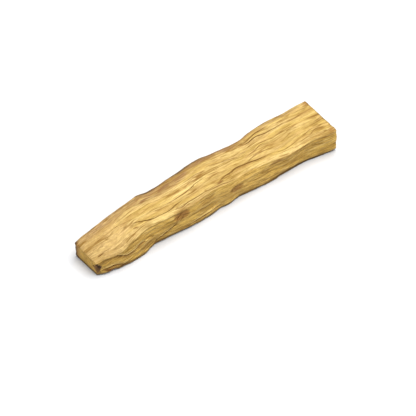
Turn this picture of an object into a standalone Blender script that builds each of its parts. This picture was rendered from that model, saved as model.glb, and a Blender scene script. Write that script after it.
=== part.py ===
"""A palo santo stick: one short length of wood, sawn off at both ends and split along its wavy grain.

It lies on its split underside. The origin is the middle of that underside, +Z is up, +X runs along the
stick to its thick end, and -Y is the long side with the torn ledges. Dimensions are in millimetres and
the scene is in metres.
"""

import math

import bmesh
import bpy
from mathutils import Matrix, Vector, noise
from mathutils.bvhtree import BVHTree

MM = 0.001

# Driving dimensions of the blank, before it is bent to the grain
LENGTH = 100.0
BLANK_WIDTH = 15.0
BLANK_HEIGHT = 9.2
EASED_EDGE = 0.5
EASED_EDGE_STEPS = 2

# The saw cuts at the ends aren't quite square: how far each slants, and the stretch that it reaches back
NEAR_CUT_SKEW = 0.045
NEAR_CUT_BACK_CORNER = 5.6
FAR_CUT_LEAN = 0.05
CUT_REACH = 10.0

# How finely the blank is cut up before it is bent
STATION_GAP = 1.7
BOARD_GAP = 0.82

# The four long edges of the split stick, as points of x, y and z
TOP_BACK_EDGE = (
    (-50.0, 5.3, 6.3),
    (-48.8, 5.8, 7.1),
    (-47.0, 6.2, 7.6),
    (-40.0, 6.6, 8.6),
    (-33.0, 7.3, 9.0),
    (-29.0, 7.5, 9.2),
    (-25.0, 8.4, 9.3),
    (-19.0, 7.9, 9.2),
    (-12.0, 7.9, 9.2),
    (-8.0, 8.5, 9.2),
    (0.0, 9.4, 9.5),
    (7.0, 8.9, 9.3),
    (16.0, 8.3, 9.1),
    (20.0, 8.6, 9.0),
    (25.0, 9.4, 9.2),
    (31.0, 9.9, 9.3),
    (42.0, 9.1, 9.4),
    (50.0, 8.6, 9.7),
)
TOP_FRONT_EDGE = (
    (-50.0, -6.1, 5.5),
    (-45.0, -7.2, 6.9),
    (-40.0, -8.1, 8.1),
    (-34.5, -7.4, 9.2),
    (-29.0, -6.5, 9.5),
    (-22.0, -7.0, 9.5),
    (-9.0, -7.3, 9.6),
    (-2.0, -6.5, 10.0),
    (6.0, -6.8, 9.5),
    (12.5, -6.3, 9.3),
    (24.0, -7.0, 9.0),
    (31.0, -7.6, 8.3),
    (39.0, -7.4, 8.8),
    (44.0, -8.1, 9.0),
    (50.0, -9.4, 9.9),
)
BASE_FRONT_EDGE = (
    (-50.0, -6.4, 0.3),
    (-48.0, -7.1, 0.2),
    (-46.0, -7.7, 0.6),
    (-43.5, -8.0, 0.6),
    (-42.0, -8.2, 0.1),
    (-36.0, -8.7, 0.0),
    (-31.0, -8.3, 0.0),
    (-28.0, -7.2, 0.0),
    (-26.0, -6.6, 0.0),
    (-22.0, -7.1, 0.0),
    (-10.0, -7.9, 0.0),
    (-3.0, -7.6, 0.0),
    (1.0, -7.0, 0.0),
    (4.5, -7.0, 0.0),
    (8.5, -6.5, 0.0),
    (15.0, -6.9, 0.0),
    (22.0, -7.6, 0.0),
    (36.0, -7.6, 0.0),
    (42.5, -8.0, 0.0),
    (50.0, -10.0, 0.0),
)
BASE_BACK_EDGE = (
    (-50.0, 4.9, 0.4),
    (-44.0, 5.8, 0.2),
    (-34.0, 6.8, 0.5),
    (-24.0, 7.6, 0.2),
    (-15.0, 7.1, 0.0),
    (-3.0, 8.4, 0.3),
    (6.0, 8.2, 0.6),
    (16.0, 7.4, 0.2),
    (26.0, 8.6, 0.0),
    (34.0, 9.1, 0.3),
    (50.0, 7.8, 0.2),
)

# Torn ledges on the front: the line of each furrow as x and z, its half-width and its depth
FURROWS = (
    (((-49.0, 4.9), (-44.0, 5.0), (-40.5, 3.6), (-37.0, 3.0), (-32.5, 4.6), (-28.0, 3.6)), 0.9, 0.75),
    (((-48.5, 2.9), (-45.0, 2.3), (-41.0, 1.4), (-37.0, 1.2), (-33.5, 2.3), (-31.0, 2.2)), 0.7, 0.45),
    (((-25.0, 2.2), (-19.0, 3.6), (-14.5, 5.4)), 0.7, 0.4),
    (((-13.0, 5.4), (-8.0, 4.9), (-3.5, 5.6)), 0.8, 0.3),
    (((-13.0, 1.3), (-5.0, 1.9), (3.0, 2.2)), 0.6, 0.45),
    (((21.0, 7.3), (26.0, 7.1), (31.0, 6.6)), 0.8, 0.25),
)

# Shallow places on the front where a flake of wood came away: x, z, half-length, half-height and depth
FLAKE_SCARS = (
    (-15.5, 7.4, 3.4, 1.6, 0.45),
    (7.5, 5.6, 3.2, 1.6, 0.45),
)

# Drying checks in the top: the line of each as x and y, its width at the surface and its depth
CHECKS = {
    "long_check": (
        ((3.4, -4.2), (7.0, -3.1), (11.5, -2.3), (15.0, -3.0), (20.0, -3.2), (25.4, -3.9)),
        0.5,
        1.5,
    ),
    "near_check": (((-33.0, -1.9), (-28.0, -2.6), (-24.5, -3.6), (-21.5, -4.1), (-17.5, -3.7)), 0.35, 0.9),
    "middle_check": (((-13.0, -1.7), (-8.0, -1.4), (-6.0, -0.6), (0.5, 0.4)), 0.3, 0.7),
    "front_check": (((-18.0, -6.0), (-12.0, -5.6), (-5.0, -4.6), (0.5, -3.4)), 0.3, 0.7),
    "upper_back_check": (((15.5, 5.6), (20.0, 6.4), (25.0, 6.9), (28.5, 7.6)), 0.35, 0.8),
    "lower_back_check": (((17.5, 5.0), (21.0, 4.8), (25.0, 5.4), (29.5, 4.8), (38.0, 5.0)), 0.4, 0.9),
}
CHECK_TIP_WIDTH = 0.12
CHECK_ROOT_WIDTH = 0.08
CHECK_TIP_SHARE_OF_DEPTH = 0.3
CHECK_STATION_GAP = 3.4
CHECK_CLEARANCE = 0.6

# The hollow broken out of the near front corner, under the top: centre, half-sizes and turn
CORNER_HOLLOW_CENTRE = (-50.5, -7.0, 2.9)
CORNER_HOLLOW_HALF = (2.1, 2.2, 2.45)
CORNER_HOLLOW_TURN = math.radians(20.0)

# Relief that the split leaves: its depth, and the grain's feature size along and across the stick.
# The underside keeps only what is deeper than UNDERSIDE_EVEN, and this share of its width is flat.
RELIEF_DEPTH = 0.34
RELIEF_LENGTH = 17.0
RELIEF_SPACING = 2.1
FINE_RELIEF_DEPTH = 0.16
FINE_RELIEF_LENGTH = 8.0
FINE_RELIEF_SPACING = 0.9
UNDERSIDE_EVEN = 0.12
FLAT_SHARE = 0.5

# A face counts as part of the underside, of the front or of a sawn end by how far its normal leans that way
UNDERSIDE_LEAN = 0.9
FRONT_LEAN = 0.5
SAWN_END_LEAN = 0.995
SHARP_FROM = math.radians(35.0)

WOOD_COLOUR = (0.66, 0.43, 0.16, 1.0)
WOOD_ROUGHNESS = 0.72


class Edge:
    """A long edge of the stick: a smooth line through its points that never swings past them."""

    def __init__(self, points):
        self.stations = [point[0] for point in points]
        self.places = [Vector(point[1:]) for point in points]
        self.slopes = [self._slope(i) for i in range(len(points))]

    def _slope(self, i):
        if i in (0, len(self.places) - 1):
            return Vector((0.0, 0.0))
        before = (self.places[i] - self.places[i - 1]) / (self.stations[i] - self.stations[i - 1])
        after = (self.places[i + 1] - self.places[i]) / (self.stations[i + 1] - self.stations[i])
        return Vector(2 * a * b / (a + b) if a * b > 0 else 0.0 for a, b in zip(before, after))

    def at(self, x):
        x = min(max(x, self.stations[0]), self.stations[-1])
        i = max(k for k in range(len(self.stations) - 1) if self.stations[k] <= x)
        span = self.stations[i + 1] - self.stations[i]
        t = (x - self.stations[i]) / span
        start, end = self.places[i], self.places[i + 1]
        leave, arrive = self.slopes[i] * span, self.slopes[i + 1] * span
        return (
            start * (1 + 2 * t) * (1 - t) ** 2
            + leave * t * (1 - t) ** 2
            + end * (3 - 2 * t) * t**2
            - arrive * (1 - t) * t**2
        )


def clear_scene():
    for obj in list(bpy.data.objects):
        bpy.data.objects.remove(obj)


def new_collection(name):
    collection = bpy.data.collections.new(name)
    bpy.context.scene.collection.children.link(collection)
    return collection


def new_object(name, bm, collection):
    mesh = bpy.data.meshes.new(name)
    bm.to_mesh(mesh)
    bm.free()
    obj = bpy.data.objects.new(name, mesh)
    collection.objects.link(obj)
    return obj


def cut_across(bm, axis, places):
    """Cuts new edges round the blank at each of these places along an axis."""
    for place in places:
        bmesh.ops.bisect_plane(
            bm,
            geom=bm.verts[:] + bm.edges[:] + bm.faces[:],
            plane_co=axis * place,
            plane_no=axis,
        )


def evenly(low, high, gap):
    count = round((high - low) / gap)
    return [low + (high - low) * i / count for i in range(1, count)]


def planed_blank():
    """A straight bar with eased long edges, its faces cut into a grid. Its straight lines are the grain."""
    bm = bmesh.new()
    size = Matrix.Diagonal((LENGTH, BLANK_WIDTH, BLANK_HEIGHT, 1.0))
    bmesh.ops.create_cube(bm, size=1.0, matrix=Matrix.Translation((0, 0, BLANK_HEIGHT / 2)) @ size)
    long_edges = [e for e in bm.edges if abs(e.verts[0].co.x - e.verts[1].co.x) > LENGTH / 2]
    bmesh.ops.bevel(
        bm,
        geom=long_edges,
        offset=EASED_EDGE,
        segments=EASED_EDGE_STEPS,
        profile=0.5,
        affect="EDGES",
    )
    half_width = BLANK_WIDTH / 2 - EASED_EDGE
    stations = evenly(-LENGTH / 2, LENGTH / 2, STATION_GAP)
    cut_across(bm, Vector((1, 0, 0)), stations)
    cut_across(bm, Vector((0, 1, 0)), evenly(-half_width, half_width, BOARD_GAP))
    cut_across(bm, Vector((0, 0, 1)), evenly(EASED_EDGE, BLANK_HEIGHT - EASED_EDGE, BOARD_GAP))
    return bm


def edge_share(across):
    """How much a lifted edge of the underside counts here: 1 at that edge, and 0 over the flat middle."""
    return max(0.0, (2 * across - 1 - FLAT_SHARE) / (1 - FLAT_SHARE)) ** 2


def bend_to_grain(point, edges):
    """Where a point of the straight blank lies in the split stick, between its four long edges."""
    top_back, top_front, base_front, base_back = (edge.at(point.x) for edge in edges)
    across = 0.5 + point.y / BLANK_WIDTH
    up = point.z / BLANK_HEIGHT
    base = base_front.lerp(base_back, across)
    base.y = base_front.y * edge_share(1 - across) + base_back.y * edge_share(across)
    top = top_front.lerp(top_back, across)
    y, z = base.lerp(top, up)
    near_end = max(0.0, 1 - (point.x + LENGTH / 2) / CUT_REACH)
    far_end = max(0.0, 1 - (LENGTH / 2 - point.x) / CUT_REACH)
    skew = near_end * NEAR_CUT_SKEW * max(0.0, NEAR_CUT_BACK_CORNER - y)
    return Vector((point.x + skew - far_end * FAR_CUT_LEAN * z, y, z))


def streaks(point, length, spacing):
    """Noise drawn out along the grain, from about -1 to 1, read where the blank was still straight."""
    return noise.noise(Vector((point.x / length, point.y / spacing, point.z / spacing)))


def centre_across(bm):
    """Sets the middle of the stick's width on the origin."""
    sides = [vert.co.y for vert in bm.verts]
    bmesh.ops.translate(bm, vec=(0.0, -(min(sides) + max(sides)) / 2, 0.0), verts=bm.verts)


def nearest_on_line(line, x):
    """The height of a line of points at x, or None past its ends."""
    for (x0, h0), (x1, h1) in zip(line, line[1:]):
        if x0 <= x <= x1:
            return h0 + (h1 - h0) * (x - x0) / (x1 - x0)
    return None


def fade_at_ends(line, x):
    """1 along a line, easing to 0 at both ends."""
    start, end = line[0][0], line[-1][0]
    share = (x - start) / (end - start)
    return min(1.0, 4 * math.sin(math.pi * min(max(share, 0.0), 1.0)) / math.pi)


def depth_of_tears(place):
    """How far the torn front lies behind the split face here."""
    depth = 0.0
    for line, half_width, deepest in FURROWS:
        height = nearest_on_line(line, place.x)
        if height is not None:
            away = (place.z - height) / half_width
            depth += deepest * fade_at_ends(line, place.x) * math.exp(-away * away)
    for x, z, half_length, half_height, deepest in FLAKE_SCARS:
        away = ((place.x - x) / half_length) ** 2 + ((place.z - z) / half_height) ** 2
        depth += deepest * max(0.0, 1.0 - away)
    return depth


def relief_at(vert, grain):
    """How a point moves to leave the relief of a split face. A sawn end has none."""
    if abs(vert.normal.x) > SAWN_END_LEAN:
        return Vector()
    outward = Vector((0.0, *vert.normal.yz)).normalized()
    sunk = RELIEF_DEPTH * streaks(grain, RELIEF_LENGTH, RELIEF_SPACING)
    sunk += FINE_RELIEF_DEPTH * streaks(grain, FINE_RELIEF_LENGTH, FINE_RELIEF_SPACING)
    if outward.z < -UNDERSIDE_LEAN:
        sunk = max(0.0, sunk - UNDERSIDE_EVEN)
    if outward.y < -FRONT_LEAN:
        sunk += depth_of_tears(vert.co)
    return -outward * sunk


def split_stick():
    """The blank bent to the grain, with the relief of a split face. The underside stays flat to rest on."""
    edges = [Edge(e) for e in (TOP_BACK_EDGE, TOP_FRONT_EDGE, BASE_FRONT_EDGE, BASE_BACK_EDGE)]
    bm = planed_blank()
    straight = {vert: vert.co.copy() for vert in bm.verts}
    for vert in bm.verts:
        vert.co = bend_to_grain(vert.co, edges)
    bm.normal_update()
    moves = [relief_at(vert, grain) for vert, grain in straight.items()]
    for vert, move in zip(straight, moves):
        vert.co += move
        vert.co.z = max(vert.co.z, 0.0)
    centre_across(bm)
    return in_triangles(bm)


def check_blade(line, width, depth, surface):
    """A thin wedge bent along a check. It stands above the surface and narrows to its root and ends."""
    start, end = line[0][0], line[-1][0]
    bm = bmesh.new()
    middle = Matrix.Translation(((start + end) / 2, 0, 0))
    bmesh.ops.create_cube(bm, size=1.0, matrix=middle @ Matrix.Diagonal((end - start, 1, 1, 1)))
    cut_across(bm, Vector((1, 0, 0)), evenly(start, end, CHECK_STATION_GAP))
    path = Edge([(x, y, 0.0) for x, y in line])
    for vert in bm.verts:
        x, side, above = vert.co.x, vert.co.y, vert.co.z > 0
        y = path.at(x)[0]
        top = surface.ray_cast(Vector((x, y, 2 * BLANK_HEIGHT)), Vector((0, 0, -1)))[0].z
        opened = fade_at_ends(line, x)
        if above:
            gap = CHECK_TIP_WIDTH + (width - CHECK_TIP_WIDTH) * opened
            vert.co = Vector((x, y + side * gap * (1 + CHECK_CLEARANCE / depth), top + CHECK_CLEARANCE))
        else:
            share = CHECK_TIP_SHARE_OF_DEPTH + (1 - CHECK_TIP_SHARE_OF_DEPTH) * opened
            vert.co = Vector((x, y + side * CHECK_ROOT_WIDTH, top - depth * share))
    return in_triangles(bm)


def corner_hollow():
    """A lump the shape of the wood that broke out of the near front corner."""
    bm = bmesh.new()
    place = Matrix.Translation(CORNER_HOLLOW_CENTRE)
    turn = Matrix.Rotation(CORNER_HOLLOW_TURN, 4, "Z")
    size = Matrix.Diagonal((*CORNER_HOLLOW_HALF, 1.0))
    bmesh.ops.create_icosphere(bm, subdivisions=2, radius=1.0, matrix=place @ turn @ size)
    return bm


def in_triangles(bm):
    """A bent quad isn't flat. As triangles, facing out, it cuts and is cut cleanly."""
    bmesh.ops.recalc_face_normals(bm, faces=bm.faces)
    bmesh.ops.triangulate(bm, faces=bm.faces)
    return bm


def in_metres(bm):
    bmesh.ops.scale(bm, vec=(MM, MM, MM), verts=bm.verts)
    return bm


def wood():
    material = bpy.data.materials.new("split palo santo")
    material.use_nodes = True
    shader = material.node_tree.nodes["Principled BSDF"]
    shader.inputs["Base Color"].default_value = WOOD_COLOUR
    shader.inputs["Roughness"].default_value = WOOD_ROUGHNESS
    shader.inputs["Metallic"].default_value = 0.0
    return material


def cut_away(obj, cutter):
    """Takes a cutter's shape out of the stick, and keeps the cutter out of the render."""
    cutter.hide_render = True
    cutter.display_type = "WIRE"
    boolean = obj.modifiers.new(cutter.name, "BOOLEAN")
    boolean.operation = "DIFFERENCE"
    boolean.solver = "EXACT"
    boolean.object = cutter


def main():
    clear_scene()
    parts = new_collection("palo_santo_stick")
    cutters = new_collection("cutters")
    body = split_stick()
    surface = BVHTree.FromBMesh(body)
    stick = new_object("stick", in_metres(body), parts)
    stick.data.materials.append(wood())
    for name, (line, width, depth) in CHECKS.items():
        blade = check_blade(line, width, depth, surface)
        cut_away(stick, new_object(name, in_metres(blade), cutters))
    cut_away(stick, new_object("corner_hollow", in_metres(corner_hollow()), cutters))
    stick.data.shade_smooth()
    stick.data.set_sharp_from_angle(angle=SHARP_FROM)


main()
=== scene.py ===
"""Dresses a split stick of palo santo wood and sets it in a plain studio.

The stick is bent from a straight blank between four long edges, as the solid that it stands for is. The
blank's straight lines are the wood's grain, so relief and colour are read in the blank and follow the bends.
Tables of points are in millimetres. Everything else, and the scene, is in metres.
"""

import math

import bpy
import numpy as np
from bpy.props import FloatProperty, FloatVectorProperty, IntProperty, PointerProperty
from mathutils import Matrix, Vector, noise


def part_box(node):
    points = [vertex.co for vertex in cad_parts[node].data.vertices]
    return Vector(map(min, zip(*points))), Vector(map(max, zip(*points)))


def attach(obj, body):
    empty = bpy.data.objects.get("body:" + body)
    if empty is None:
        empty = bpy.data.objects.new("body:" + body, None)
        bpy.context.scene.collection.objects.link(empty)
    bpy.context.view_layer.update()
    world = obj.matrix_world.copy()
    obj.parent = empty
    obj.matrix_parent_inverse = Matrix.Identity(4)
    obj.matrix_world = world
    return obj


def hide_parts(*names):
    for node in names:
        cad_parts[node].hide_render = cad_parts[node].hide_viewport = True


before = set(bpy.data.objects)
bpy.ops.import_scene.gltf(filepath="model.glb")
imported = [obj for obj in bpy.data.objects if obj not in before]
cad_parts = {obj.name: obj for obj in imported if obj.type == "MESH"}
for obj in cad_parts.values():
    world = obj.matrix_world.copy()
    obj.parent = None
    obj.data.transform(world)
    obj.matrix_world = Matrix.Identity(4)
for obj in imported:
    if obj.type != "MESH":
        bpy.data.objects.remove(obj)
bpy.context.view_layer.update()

bl_info = {
    "name": "Palo Santo Stick",
    "version": (1, 0, 0),
    "blender": (4, 5, 0),
    "location": "3D View > Sidebar > Stick",
    "description": "Dresses a split stick of palo santo wood and sets it in a plain studio",
    "category": "Object",
}

MM = 0.001

# The straight blank that the stick is bent from, and how finely its faces are cut
LENGTH = 100.0
BLANK_WIDTH = 15.0
BLANK_HEIGHT = 9.2
EASED_EDGE = 0.35
STATIONS = 246
TOP_STEPS = 112
SIDE_STEPS = 54
CORNER_STEPS = 4
RIM_EASE = 0.14

# The saw cuts at the ends aren't quite square, and this share of the underside's width is flat
NEAR_CUT_SKEW = 0.045
NEAR_CUT_BACK_CORNER = 5.6
FAR_CUT_LEAN = 0.02
FAR_CUT_SKEW = 0.035
FAR_CUT_BACK_CORNER = 4.0
CUT_REACH = 10.0
FLAT_SHARE = 0.5

# The four long edges of the split stick, as points of x, y and z
TOP_BACK_EDGE = (
    (-50, 5.5, 6.3), (-48.8, 5.4, 7), (-47, 5.5, 7.6), (-40, 6, 8.6), (-33, 6.8, 9), (-29, 7.3, 9.2),
    (-25, 7.7, 9.3), (-23, 8.1, 9.3), (-19, 7.6, 9.2), (-14.5, 8, 9.2), (-10, 8.4, 9.2), (-5.3, 8.5, 9.3),
    (-1.2, 8.9, 9.5), (3.6, 9.4, 9.4), (7.5, 8.7, 9.3), (12.5, 8.3, 9.2), (16, 8, 9.1), (20, 8, 9),
    (25, 8.7, 9.2), (31, 9.2, 9.3), (42, 8.6, 9.4), (50, 8.6, 9.7),
)
TOP_FRONT_EDGE = (
    (-50, -6.1, 5.5), (-45, -7.2, 6.9), (-40, -8.1, 8.1), (-34.5, -7.4, 9.2), (-29, -6.5, 9.5),
    (-22, -7, 9.5), (-9, -7.3, 9.6), (-2, -6.5, 10), (6, -6.8, 9.5), (12.5, -6.3, 9.3), (24, -7, 9),
    (31, -7.6, 8.3), (39, -7.4, 8.8), (44, -8.1, 9), (50, -9.4, 9.9),
)
BASE_FRONT_EDGE = (
    (-50, -6.4, 0.1), (-48, -7.3, 0.2), (-46, -7.9, 0.6), (-43.5, -8, 0.6), (-42, -8.2, 0.1),
    (-36, -8.7, 0), (-31, -8.3, 0), (-28, -7.2, 0), (-26, -6.8, 0), (-22, -7.1, 0), (-10, -7.9, 0),
    (-3, -7.6, 0), (1, -7.1, 0), (4.5, -7.4, 0), (8.5, -7, 0), (15, -7.4, 0), (22, -7.7, 0), (36, -7.6, 0),
    (42.5, -8.5, 0), (48, -9.4, 0.1), (50, -9.7, 0.5),
)
BASE_BACK_EDGE = (
    (-50, 5.2, 0.1), (-44, 5.8, 0.2), (-34, 6.8, 0.5), (-24, 7.6, 0.2), (-15, 7.1, 0), (-3, 8.4, 0.3),
    (6, 8.2, 0.6), (16, 7.4, 0.2), (26, 8.6, 0), (34, 9.1, 0.3), (50, 7.8, 0.2),
)

# The lines of the drying checks in the top, as x and y, and of the hair cracks that run on from them
FRONT_CHECK = ((-18.5, -5.1), (-14, -5.5), (-10.5, -5.1), (-6.8, -5), (-3.7, -4.8), (-1.3, -5.2))
FRONT_RUN_ON = ((-3.7, -4.8), (-1.3, -5.2), (3, -5.3), (5, -5.8), (9, -5.9))
NEAR_CHECK = ((-32.5, -1.2), (-28.5, -2.5), (-25.5, -3.5), (-22, -4.1), (-18.5, -4.2), (-15.5, -3.6))
NEAR_RUN_ON = ((-22, -4.1), (-18.5, -4.2), (-15, -3.5), (-11.5, -3.1))
LONG_CHECK = ((3.4, -3.4), (5.3, -3), (8, -2.6), (11.5, -2), (16, -2.4), (20, -3.1), (25.6, -3.7))
LONG_RUN_ON = ((25.6, -3.7), (28, -4.3), (32, -4.6), (36, -4.5))
MIDDLE_RUN_IN = ((-41, 1), (-36, 0.9), (-31, 0.4), (-26, -0.6))
MIDDLE_CHECK = ((-21, -1.1), (-15, -1.5), (-9.5, -1.1), (-6.5, -0.5), (-4, 0.2), (0.5, 0.4))
BACK_CHECK = ((18, 5.4), (21.5, 5.2), (25.2, 5.6), (29, 5.2), (34.5, 5), (38, 5))
BACK_RUN_ON = ((38, 5), (40.5, 4.6), (45.7, 4.3))
UPPER_CHECK = ((18.5, 5.7), (22, 6.1), (25, 6.7), (28.5, 7.2), (32, 7.4))

# Checks, hair cracks and small dark flecks in the top: the line, its width, its depth and its darkness,
# which is partly painted shade inside them
TOP_CRACKS = (
    (LONG_CHECK, 0.5, 0.55, 0.75),
    (LONG_RUN_ON, 0.26, 0.2, 0.5),
    (NEAR_CHECK, 0.4, 0.5, 0.85),
    (NEAR_RUN_ON, 0.34, 0.2, 0.85),
    (FRONT_CHECK, 0.34, 0.3, 0.8),
    (FRONT_RUN_ON, 0.34, 0.15, 0.8),
    (MIDDLE_RUN_IN, 0.22, 0.1, 0.35),
    (MIDDLE_CHECK, 0.36, 0.3, 0.85),
    (BACK_CHECK, 0.42, 0.45, 0.95),
    (BACK_RUN_ON, 0.3, 0.2, 0.65),
    (UPPER_CHECK, 0.36, 0.35, 0.85),
    (((1.9, -4), (4.5, -3.3), (7, -2.8), (10, -2.3)), 0.44, 0, 0.9),
    (((15.5, -2.2), (18, -1.6), (22, -1.1), (26, -1.5)), 0.34, 0, 0.75),
    (((0.5, 1.8), (8, 1.7), (14.5, 1.1), (19, 0.4)), 0.34, 0, 0.7),
    (((2.5, 4.3), (7, 3.8), (12.5, 2.2), (17.5, 1.2)), 0.34, 0, 0.65),
    (((1, 0.7), (3, 0.5), (6, 0.1)), 0.32, 0, 0.65),
    (((16.5, -0.1), (21, 0.7), (24.5, 1.6), (28, 1.2)), 0.34, 0, 0.75),
    (((17.5, -1.3), (22.4, -0.5), (28, -0.1)), 0.32, 0, 0.65),
    (((20, 1.8), (23, 2.3), (27, 2.2), (31, 1.8)), 0.32, 0, 0.65),
    (((-9, 1.1), (-5, 1.9), (-1, 1.6)), 0.34, 0, 0.65),
    (((-7, 2.9), (-2, 3.3), (2, 3)), 0.32, 0, 0.6),
    (((39, -3.5), (42.6, -3.2), (45.5, -3.3)), 0.36, 0, 0.75),
    (((40.5, -4.9), (44, -4.2), (46.5, -4.2)), 0.34, 0, 0.65),
    (((45.5, -1), (49.6, -1.1)), 0.34, 0, 0.7),
    (((-32.9, -3.5), (-30.6, -3.7)), 0.5, 0, 0.85),
    (((-47.8, -4.2), (-45.2, -4.5)), 0.4, 0, 0.9),
    (((1.4, -4.4), (4.4, -4.2)), 1, 0, 0.85),
)

# The lines of the larger ledges and cracks in the front, as x and z
SHOULDER_LEDGE = (
    (-49.6, 3.2), (-48.3, 4.2), (-46, 5.2), (-43, 5.7), (-40.5, 4.8), (-38.5, 4.1), (-35.5, 4.4),
    (-32.5, 5.2), (-30.5, 4.9), (-27.5, 3.6),
)
FOOT_LEDGE = ((-49.4, 1.2), (-47, 2.1), (-44.8, 2.3), (-42, 1.9), (-39, 1.4), (-36, 1.9))
GROOVE = ((-27, 0.9), (-23.2, 2.4), (-20.3, 3.4), (-17.5, 4.7), (-14.5, 6))
SIDE_LEDGE = ((-13, 5.5), (-8.5, 5.2), (-3.7, 4.8), (-1.5, 5.1))
SCAR_CRACK = ((-17.8, 6.4), (-16.2, 7.2), (-14.6, 8))
RIDGE_CRACK = ((-8, 8.3), (-5.3, 8.2), (-3.4, 7.6))
PATCH_CRACK = ((5.6, 5.9), (7, 6.3), (8.8, 6))

# Which row of the mesh each of these lines runs on, counted from the front of the top and from the foot
# of the front
TOP_ROWS = (
    (14, (FRONT_CHECK, FRONT_RUN_ON)),
    (24, (NEAR_CHECK, NEAR_RUN_ON, LONG_CHECK, LONG_RUN_ON)),
    (46, (MIDDLE_RUN_IN, MIDDLE_CHECK)),
    (88, (BACK_CHECK, BACK_RUN_ON)),
    (96, (UPPER_CHECK,)),
)
FRONT_ROWS = (
    (18, (FOOT_LEDGE, GROOVE, SIDE_LEDGE)),
    (31, (SHOULDER_LEDGE, SCAR_CRACK, RIDGE_CRACK, PATCH_CRACK)),
)

# Torn ledges on the front: the line that each drops from, how far it slopes below that, its depth and
# how brown it is, partly as painted shade below the ledge
FRONT_LEDGES = (
    (SHOULDER_LEDGE, 1.2, 0.55, 0.75),
    (FOOT_LEDGE, 0.9, 0.45, 0.75),
    (((-36.5, 2), (-33.7, 2.5), (-30.5, 3.4), (-28, 3)), 0.8, 0.15, 0.5),
    (GROOVE, 0.8, 0.4, 0.65),
    (SIDE_LEDGE, 1.1, 0.3, 0.35),
    (((-14.5, 1.7), (-10, 1.9), (-5, 2.1), (-1, 1.6), (3.5, 1.4)), 0.5, 0.4, 0.7),
    # This ledge's brown is painted shade under the far half of the ridge
    (((21, 7.5), (27, 8.2), (33, 8), (39, 8), (46, 8.6)), 1.2, 0.2, 0.25),
    (((4.5, 3), (8, 3), (11, 2.4)), 0.5, 0.2, 0.4),
)

# Sharp cracks in the front: the line, its width, its depth and its darkness, which is partly painted shade
# inside them
FRONT_CRACKS = (
    (GROOVE, 0.8, 0.5, 1),
    (SHOULDER_LEDGE, 0.6, 0.2, 0.5),
    (FOOT_LEDGE, 0.5, 0.2, 0.6),
    (SIDE_LEDGE, 0.3, 0.2, 0.55),
    (((-14, 1.6), (-8, 1.9), (-3, 1.9), (2.5, 1.3)), 0.5, 0, 0.75),
    (((-21.5, 8.9), (-19, 8.9), (-17, 8.7)), 0.4, 0, 0.7),
    (SCAR_CRACK, 0.45, 0.25, 0.85),
    (((-16, 5.8), (-14.6, 6.6), (-13.6, 7.4)), 0.36, 0, 0.7),
    (RIDGE_CRACK, 0.4, 0.15, 0.45),
    (PATCH_CRACK, 0.5, 0.2, 0.7),
    (((9, 5.9), (11, 5.5)), 0.5, 0, 0.6),
    (((-47.4, 1.7), (-45.5, 1.3), (-42.8, 0.8)), 1, 0.2, 1),
    (((13, 4.6), (18, 4.2), (24, 4.6)), 0.34, 0, 0.6),
    (((27, 3.2), (33, 3.6), (38, 3.2)), 0.34, 0, 0.6),
    (((14, 2.2), (20, 2.4), (27, 2)), 0.34, 0, 0.6),
    (((23.6, 7.3), (26.6, 7.5)), 0.5, 0, 0.6),
    (((29.5, 7), (33.5, 7.2)), 0.5, 0, 0.5),
    (((36.5, 7.6), (40, 7.4)), 0.5, 0, 0.45),
)

# The painted highlight along the lip above each ledge: how far above its line, how wide, and the ledge's
# depth for a full lip
LIP_ABOVE = 0.55
LIP_WIDTH = 0.35
LIP_FULL = 0.4

# Shallow places on the front where a flake came away: x, z, half-length, half-height, depth and darkness,
# partly painted shade under the ridge
FLAKE_SCARS = (
    (-15.3, 7.4, 3.4, 1.8, 0.4, 1),
    (-41.8, 7.2, 3.2, 0.9, 0.1, 0.75),
    (8.2, 5.3, 3.2, 1.7, 0.35, 0.7),
    (-4.5, 7.2, 4, 1.2, 0.1, 0.45),
    (20.5, 6, 2.4, 1.4, 0.1, 0.4),
    # The last three lie under the ridge: their darkness is painted shade there
    (25, 7.6, 3.4, 0.9, 0.1, 0.6),
    (35, 7.7, 6, 0.8, 0.1, 0.5),
    (44, 8.2, 3, 0.6, 0.05, 0.5),
)

# Brown streaks in the top: the line as x and y, how wide each is to either side, and how brown
TOP_STREAKS = (
    (((-49.5, 4.4), (-44.7, 4.6), (-40, 4.9), (-35, 5.2)), 0.4, 1.2),
    (((-39, 2.7), (-33.7, 3.8), (-29.3, 4.6), (-26, 4.4)), 0.45, 0.9),
    (((-26, 4.6), (-21, 4.9), (-17, 5)), 0.9, 1.6),
    (((-18, 4.9), (-13.3, 5.7), (-9.5, 6.2)), 1.1, 1.9),
    (((-11.5, 6), (-8.5, 6.1), (-5, 6.3), (-1, 6.9)), 1, 1.6),
    (((-4, 7.8), (0, 8.1), (5, 8), (9, 7.7), (14, 7.1), (18, 6.7), (22.5, 6.7)), 1, 1.7),
    (((21, 6.8), (26, 7), (31, 7.9), (36, 8.2), (42, 7.9), (49.8, 7.5)), 0.8, 0.9),
    (((21, 8.3), (25, 8.8), (31, 9.3), (42, 8.6), (49.8, 8.2)), 0.4, 1),
    (((27, -4.6), (31, -4.9), (36, -4.6)), 0.5, 0.35),
    (((33, 3.4), (38, 2.6), (44, 2.4)), 0.6, 0.3),
)

# Where the brown heartwood along the back begins on the top, as x and y, and how brown it is
HEARTWOOD_EDGE = (
    (-50, 2.6, 0.8), (-42, 2.9, 0.9), (-36, 3.5, 1), (-30, 4.2, 0.95), (-24, 4.2, 1), (-19, 3.6, 1.05),
    (-13, 3.2, 1.05), (-7, 4.3, 1), (-4, 5.2, 0.95), (-1, 6.2, 1.1), (3, 6.5, 1.3), (10, 6.6, 1.3),
    (18, 6.6, 1.15), (23, 7.3, 1), (29, 8.3, 1), (36, 8.4, 0.9), (50, 7.9, 0.8),
)
HEARTWOOD_FADE = 0.9

# How brown the back is, and the streaks that stray over the rest
BROWN_BACK = 0.8
BROWN_STRAYS = 0.45

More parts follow.
